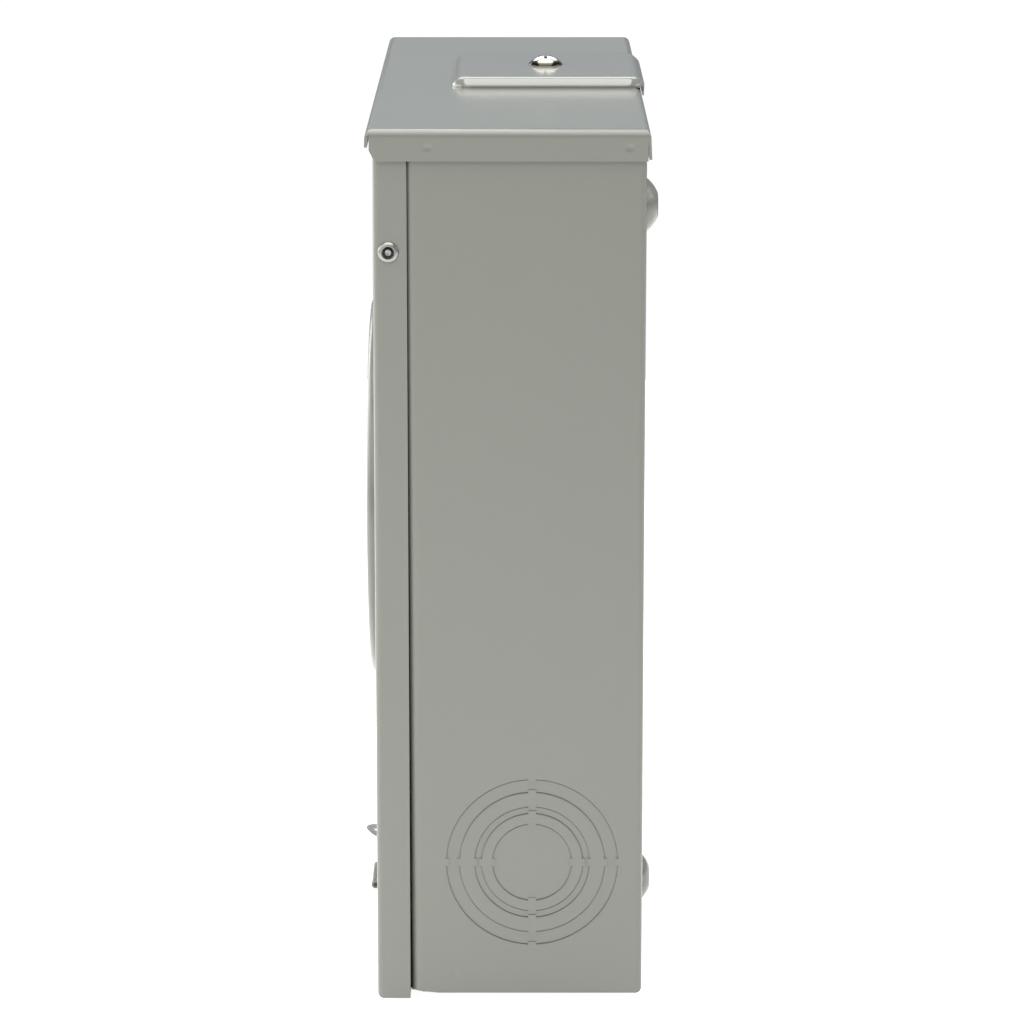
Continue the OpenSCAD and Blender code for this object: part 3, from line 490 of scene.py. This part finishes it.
def new_piece(name, mesh, node, body, material, sharp=None):
    """Puts a mesh in the scene in place of a CAD node, smooth but for edges past an angle."""
    piece = bpy.data.objects.new(name, mesh)
    bpy.context.scene.collection.objects.link(piece)
    for polygon in mesh.polygons:
        polygon.use_smooth = True
    if sharp:
        mesh.set_sharp_from_angle(angle=math.radians(sharp))
    piece.data.materials.append(material)
    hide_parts(node)
    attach(piece, body)
    return piece


def rounded_rectangle(low, high, inset, radius, steps):
    """The points of a rounded rectangle in X and Y, all the way round, steps + 1 to a corner."""
    x0, y0, x1, y1 = low[0] + inset, low[1] + inset, high[0] - inset, high[1] - inset
    r = max(radius - inset, 0.5 * MM)
    corners = [(x1 - r, y1 - r, 0), (x0 + r, y1 - r, 90), (x0 + r, y0 + r, 180),
               (x1 - r, y0 + r, 270)]
    points = []
    for cx, cy, turn in corners:
        for i in range(steps + 1):
            a = math.radians(turn + 90 * i / steps)
            points.append((cx + r * math.cos(a), cy + r * math.sin(a)))
    return points


def loft(rings, closed=True):
    """Joins rings with equal numbers of points, and the last ring to the first if closed."""
    points = [p for ring in rings for p in ring]
    n = len(rings[0])
    faces = []
    for i in range(len(rings) if closed else len(rings) - 1):
        a, b = i * n, ((i + 1) % len(rings)) * n
        faces += [(a + j, a + (j + 1) % n, b + (j + 1) % n, b + j) for j in range(n)]
    return points, faces


def capped(rings):
    """Joins rings into a closed solid with flat ends."""
    points, faces = loft(rings, closed=False)
    n = len(rings[0])
    last = len(points) - n
    return points, faces + [tuple(range(n - 1, -1, -1)), tuple(range(last, last + n))]


def mesh_of(name, parts):
    """One mesh from several (points, faces) pairs, with its normals facing out."""
    form = bmesh.new()
    for points, faces in parts:
        made = [form.verts.new(p) for p in points]
        for face in faces:
            form.faces.new([made[i] for i in face])
    bmesh.ops.remove_doubles(form, verts=form.verts, dist=1e-7)
    bmesh.ops.recalc_face_normals(form, faces=form.faces)
    mesh = bpy.data.meshes.new(name)
    form.to_mesh(mesh)
    form.free()
    return mesh


# The drawn plate's section, as inset and height in millimetres: a short wall and a soft
# shoulder. The inside follows it from the fourth place on.
PLATE_SECTION = ((0.0, 0.0), (0.0, 0.7), (0.12, 1.15), (0.45, 1.65), (1.1, 2.35), (2.0, 3.2),
                 (2.8, 3.85), (3.6, 4.3), (4.6, 4.58), (5.8, 4.71), (7.5, 4.75))
PLATE_INSIDE_FROM = 3
PLATE_SHEET = 1.2
PLATE_CORNER = 10.0
PLATE_CORNER_STEPS = 8
PLATE_HOLE = 3.3 * MM
# The turned-down rear edge: its thickness, its overlap with the plate, how far its ends stay
# in from the plate's, and its cut corners.
LIP_SHEET = 0.8 * MM
LIP_OVERLAP = 1.0 * MM
LIP_INSET = 12 * MM
LIP_CUT = 2.5 * MM


def add_hub_plate(materials):
    """The hub's closure plate: a shallow drawn cover with a turned-down rear edge."""
    low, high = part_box("hub_closure_plate")
    head_low, head_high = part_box("hub_plate_screw")
    base = high[2] - PLATE_SECTION[-1][1] * MM
    hub = ((head_low[0] + head_high[0]) / 2, (head_low[1] + head_high[1]) / 2)

    def ring(inset, height):
        outline = rounded_rectangle(low, high, inset * MM, PLATE_CORNER * MM, PLATE_CORNER_STEPS)
        return [(x, y, base + height * MM) for x, y in outline]

    def hole(height):
        turns = [math.atan2(y - hub[1], x - hub[0]) for x, y, _ in ring(0, 0)]
        return [(hub[0] + PLATE_HOLE * math.cos(a), hub[1] + PLATE_HOLE * math.sin(a),
                 base + height * MM) for a in turns]

    top = PLATE_SECTION[-1][1]
    outside = [ring(*place) for place in PLATE_SECTION]
    inside = [ring(inset + PLATE_SHEET, max(height - PLATE_SHEET, 0.0))
              for inset, height in reversed(PLATE_SECTION[PLATE_INSIDE_FROM:])]
    rings = outside + [hole(top), hole(top - PLATE_SHEET)] + inside + [ring(PLATE_SHEET, 0.0)]
    # The rear edge turns down behind the hood.
    y0, y1 = high[1] - LIP_SHEET, high[1]
    z0, z1 = low[2], base + LIP_OVERLAP
    x0, x1 = low[0] + LIP_INSET, high[0] - LIP_INSET
    front = [(x0, y0, z1), (x0, y0, z0 + LIP_CUT), (x0 + LIP_CUT, y0, z0),
             (x1 - LIP_CUT, y0, z0), (x1, y0, z0 + LIP_CUT), (x1, y0, z1)]
    back = [(x, y1, z) for x, _, z in front]
    n = len(front)
    sides = [(i, (i + 1) % n, n + (i + 1) % n, n + i) for i in range(n)]
    lip = (front + back, [tuple(range(n)), tuple(range(2 * n - 1, n - 1, -1))] + sides)
    mesh = mesh_of("hub_plate", [loft(rings), lip])
    piece = new_piece("hub_plate", mesh, "hub_closure_plate", "box",
                      materials["plate_paint"], 40)
    weigh_normals(piece)


# The rivet's section, as radius and height in millimetres, from the flange to the mandrel's end.
RIVET_SECTION = ((4.6, 0.0), (4.55, 0.35), (4.3, 0.75), (3.9, 1.12), (3.4, 1.38), (2.95, 1.5),
                 (2.72, 1.42), (2.62, 1.1), (2.58, 0.4), (2.5, 0.25), (1.75, 0.25), (1.66, 0.35),
                 (1.62, 0.95), (1.5, 1.08), (1.1, 1.12), (0.95, 0.95), (0.5, 0.88), (0.0, 0.92))
# Its shank behind the skirt, with the swollen blind end.
RIVET_SHANK = ((2.4, 0.0), (2.4, -3.2), (3.3, -3.25), (3.25, -4.2), (2.6, -5.3), (1.2, -5.4),
               (0.0, -5.4))
RIVET_FLANGE = 1.5 * MM
RIVET_SIDES = 40
# The broken end of the mandrel is uneven: by how much, in millimetres, at these radii.
RIVET_BREAK = {0.95: 0.06, 0.5: 0.10}


def add_rivet(side, materials):
    """A blind rivet with a domed flange round a deep well, where its mandrel broke off."""
    name = "right" if side > 0 else "left"
    node = "door_rivet_" + name
    low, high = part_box(node)
    # The skirt's face, from which the flange stands out.
    face = (high[0] - RIVET_FLANGE) if side > 0 else (low[0] + RIVET_FLANGE)
    centre = ((low[1] + high[1]) / 2, (low[2] + high[2]) / 2)
    rings = []
    for radius, height in RIVET_SECTION[::-1] + RIVET_SHANK:
        ring = []
        for i in range(RIVET_SIDES):
            a = 2 * math.pi * i / RIVET_SIDES
            rough = RIVET_BREAK.get(radius, 0.0) * math.sin(3 * a + 0.7) if height > 0 else 0.0
            r = max(radius, 0.02) * MM
            ring.append((face + side * (height + rough) * MM, centre[0] + r * math.cos(a),
                         centre[1] + r * math.sin(a)))
        rings.append(ring)
    mesh = mesh_of("rivet_" + name, [capped(rings)])
    new_piece("rivet_" + name, mesh, node, "door", materials["rivet_steel"], 50)


TUBE_SIDES = 10


def tube(path, radius):
    """A closed tube of this radius along a path of points."""
    rings = []
    up = mathutils.Vector((0.0, 0.3, 1.0)).normalized()
    for i, point in enumerate(path):
        before, after = path[max(i - 1, 0)], path[min(i + 1, len(path) - 1)]
        along = (mathutils.Vector(after) - mathutils.Vector(before)).normalized()
        side = along.cross(up)
        if side.length < 0.2:
            side = along.cross(mathutils.Vector((1.0, 0.0, 0.0)))
        side.normalize()
        up = side.cross(along).normalized()
        turns = [2 * math.pi * k / TUBE_SIDES for k in range(TUBE_SIDES)]
        rings.append([tuple(mathutils.Vector(point)
                            + radius * (math.cos(t) * side + math.sin(t) * up)) for t in turns])
    return capped(rings)


# The spring's coil and wire radii, its turns, and the points to a turn.
SPRING_RADIUS, SPRING_WIRE = 2.1 * MM, 0.3 * MM
SPRING_TURNS, SPRING_STEPS = 2.25, 24


def add_latch_spring(materials):
    """A torsion spring round the latch's pin: a little over two turns and two legs."""
    low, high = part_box("latch_spring")
    centre = ((low[1] + high[1]) / 2, (low[2] + high[2]) / 2)
    x0, x1 = low[0] + SPRING_WIRE, high[0] - SPRING_WIRE
    last = SPRING_TURNS * SPRING_STEPS
    coil = []
    for i in range(int(last) + 1):
        a = 2 * math.pi * i / SPRING_STEPS - math.pi / 2
        coil.append((x0 + (x1 - x0) * i / last, centre[0] + SPRING_RADIUS * math.cos(a),
                     centre[1] + SPRING_RADIUS * math.sin(a)))
    # One leg lies back against the bracket and the other under the tongue's bend.
    start = coil[0]
    leg = [(start[0], start[1] - (4 - i) * 0.45 * MM, start[2]) for i in range(4)]
    end = coil[-1]
    foot = [(end[0], end[1], end[2] - i * 0.4 * MM) for i in range(1, 5)]
    mesh = mesh_of("spring_wire", [tube(leg + coil + foot, SPRING_WIRE)])
    new_piece("spring_wire", mesh, "latch_spring", "box",
              materials["spring_steel"])


materials = make_materials()
add_camera()
add_floor()
add_lights()
dress(materials)
add_hub_plate(materials)
add_latch_spring(materials)
add_rivet(-1, materials)
add_rivet(1, materials)
